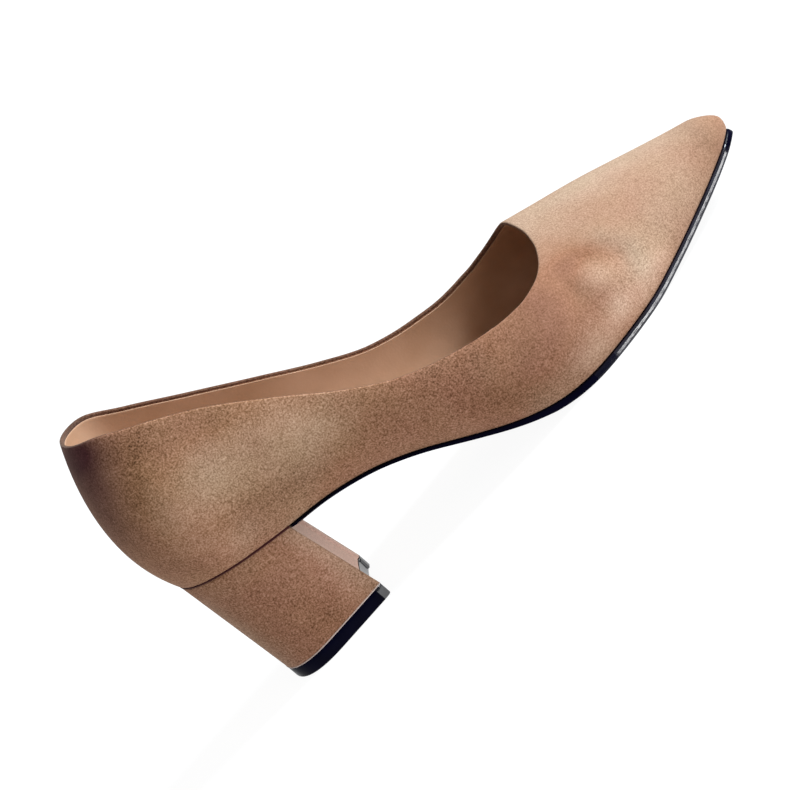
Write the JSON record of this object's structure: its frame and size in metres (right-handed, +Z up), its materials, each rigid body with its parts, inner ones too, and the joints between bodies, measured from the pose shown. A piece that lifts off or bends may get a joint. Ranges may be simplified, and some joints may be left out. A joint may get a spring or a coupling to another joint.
{
  "type": "low heel pump",
  "caption": "Right-foot pump with a pointed toe, a hollow suede upper open at the mouth, a thin black outsole with arch and toe spring, and a suede-covered block heel.",
  "frame": {"origin": "on the floor under the middle of the shoe's overall box", "axes": "+X from heel to toe, +Y to the inner side of the foot, +Z up"},
  "size_m": [0.256, 0.0783, 0.1205],
  "materials": {
    "suede": "matte brushed nap",
    "lining": "smooth matte",
    "sole_rubber": "polished edge"
  },
  "bodies": {
    "root": {"upper": "suede", "insole": "lining", "outsole": "sole_rubber", "heel": "suede", "top_piece": "sole_rubber"}
  },
  "joints": []
}
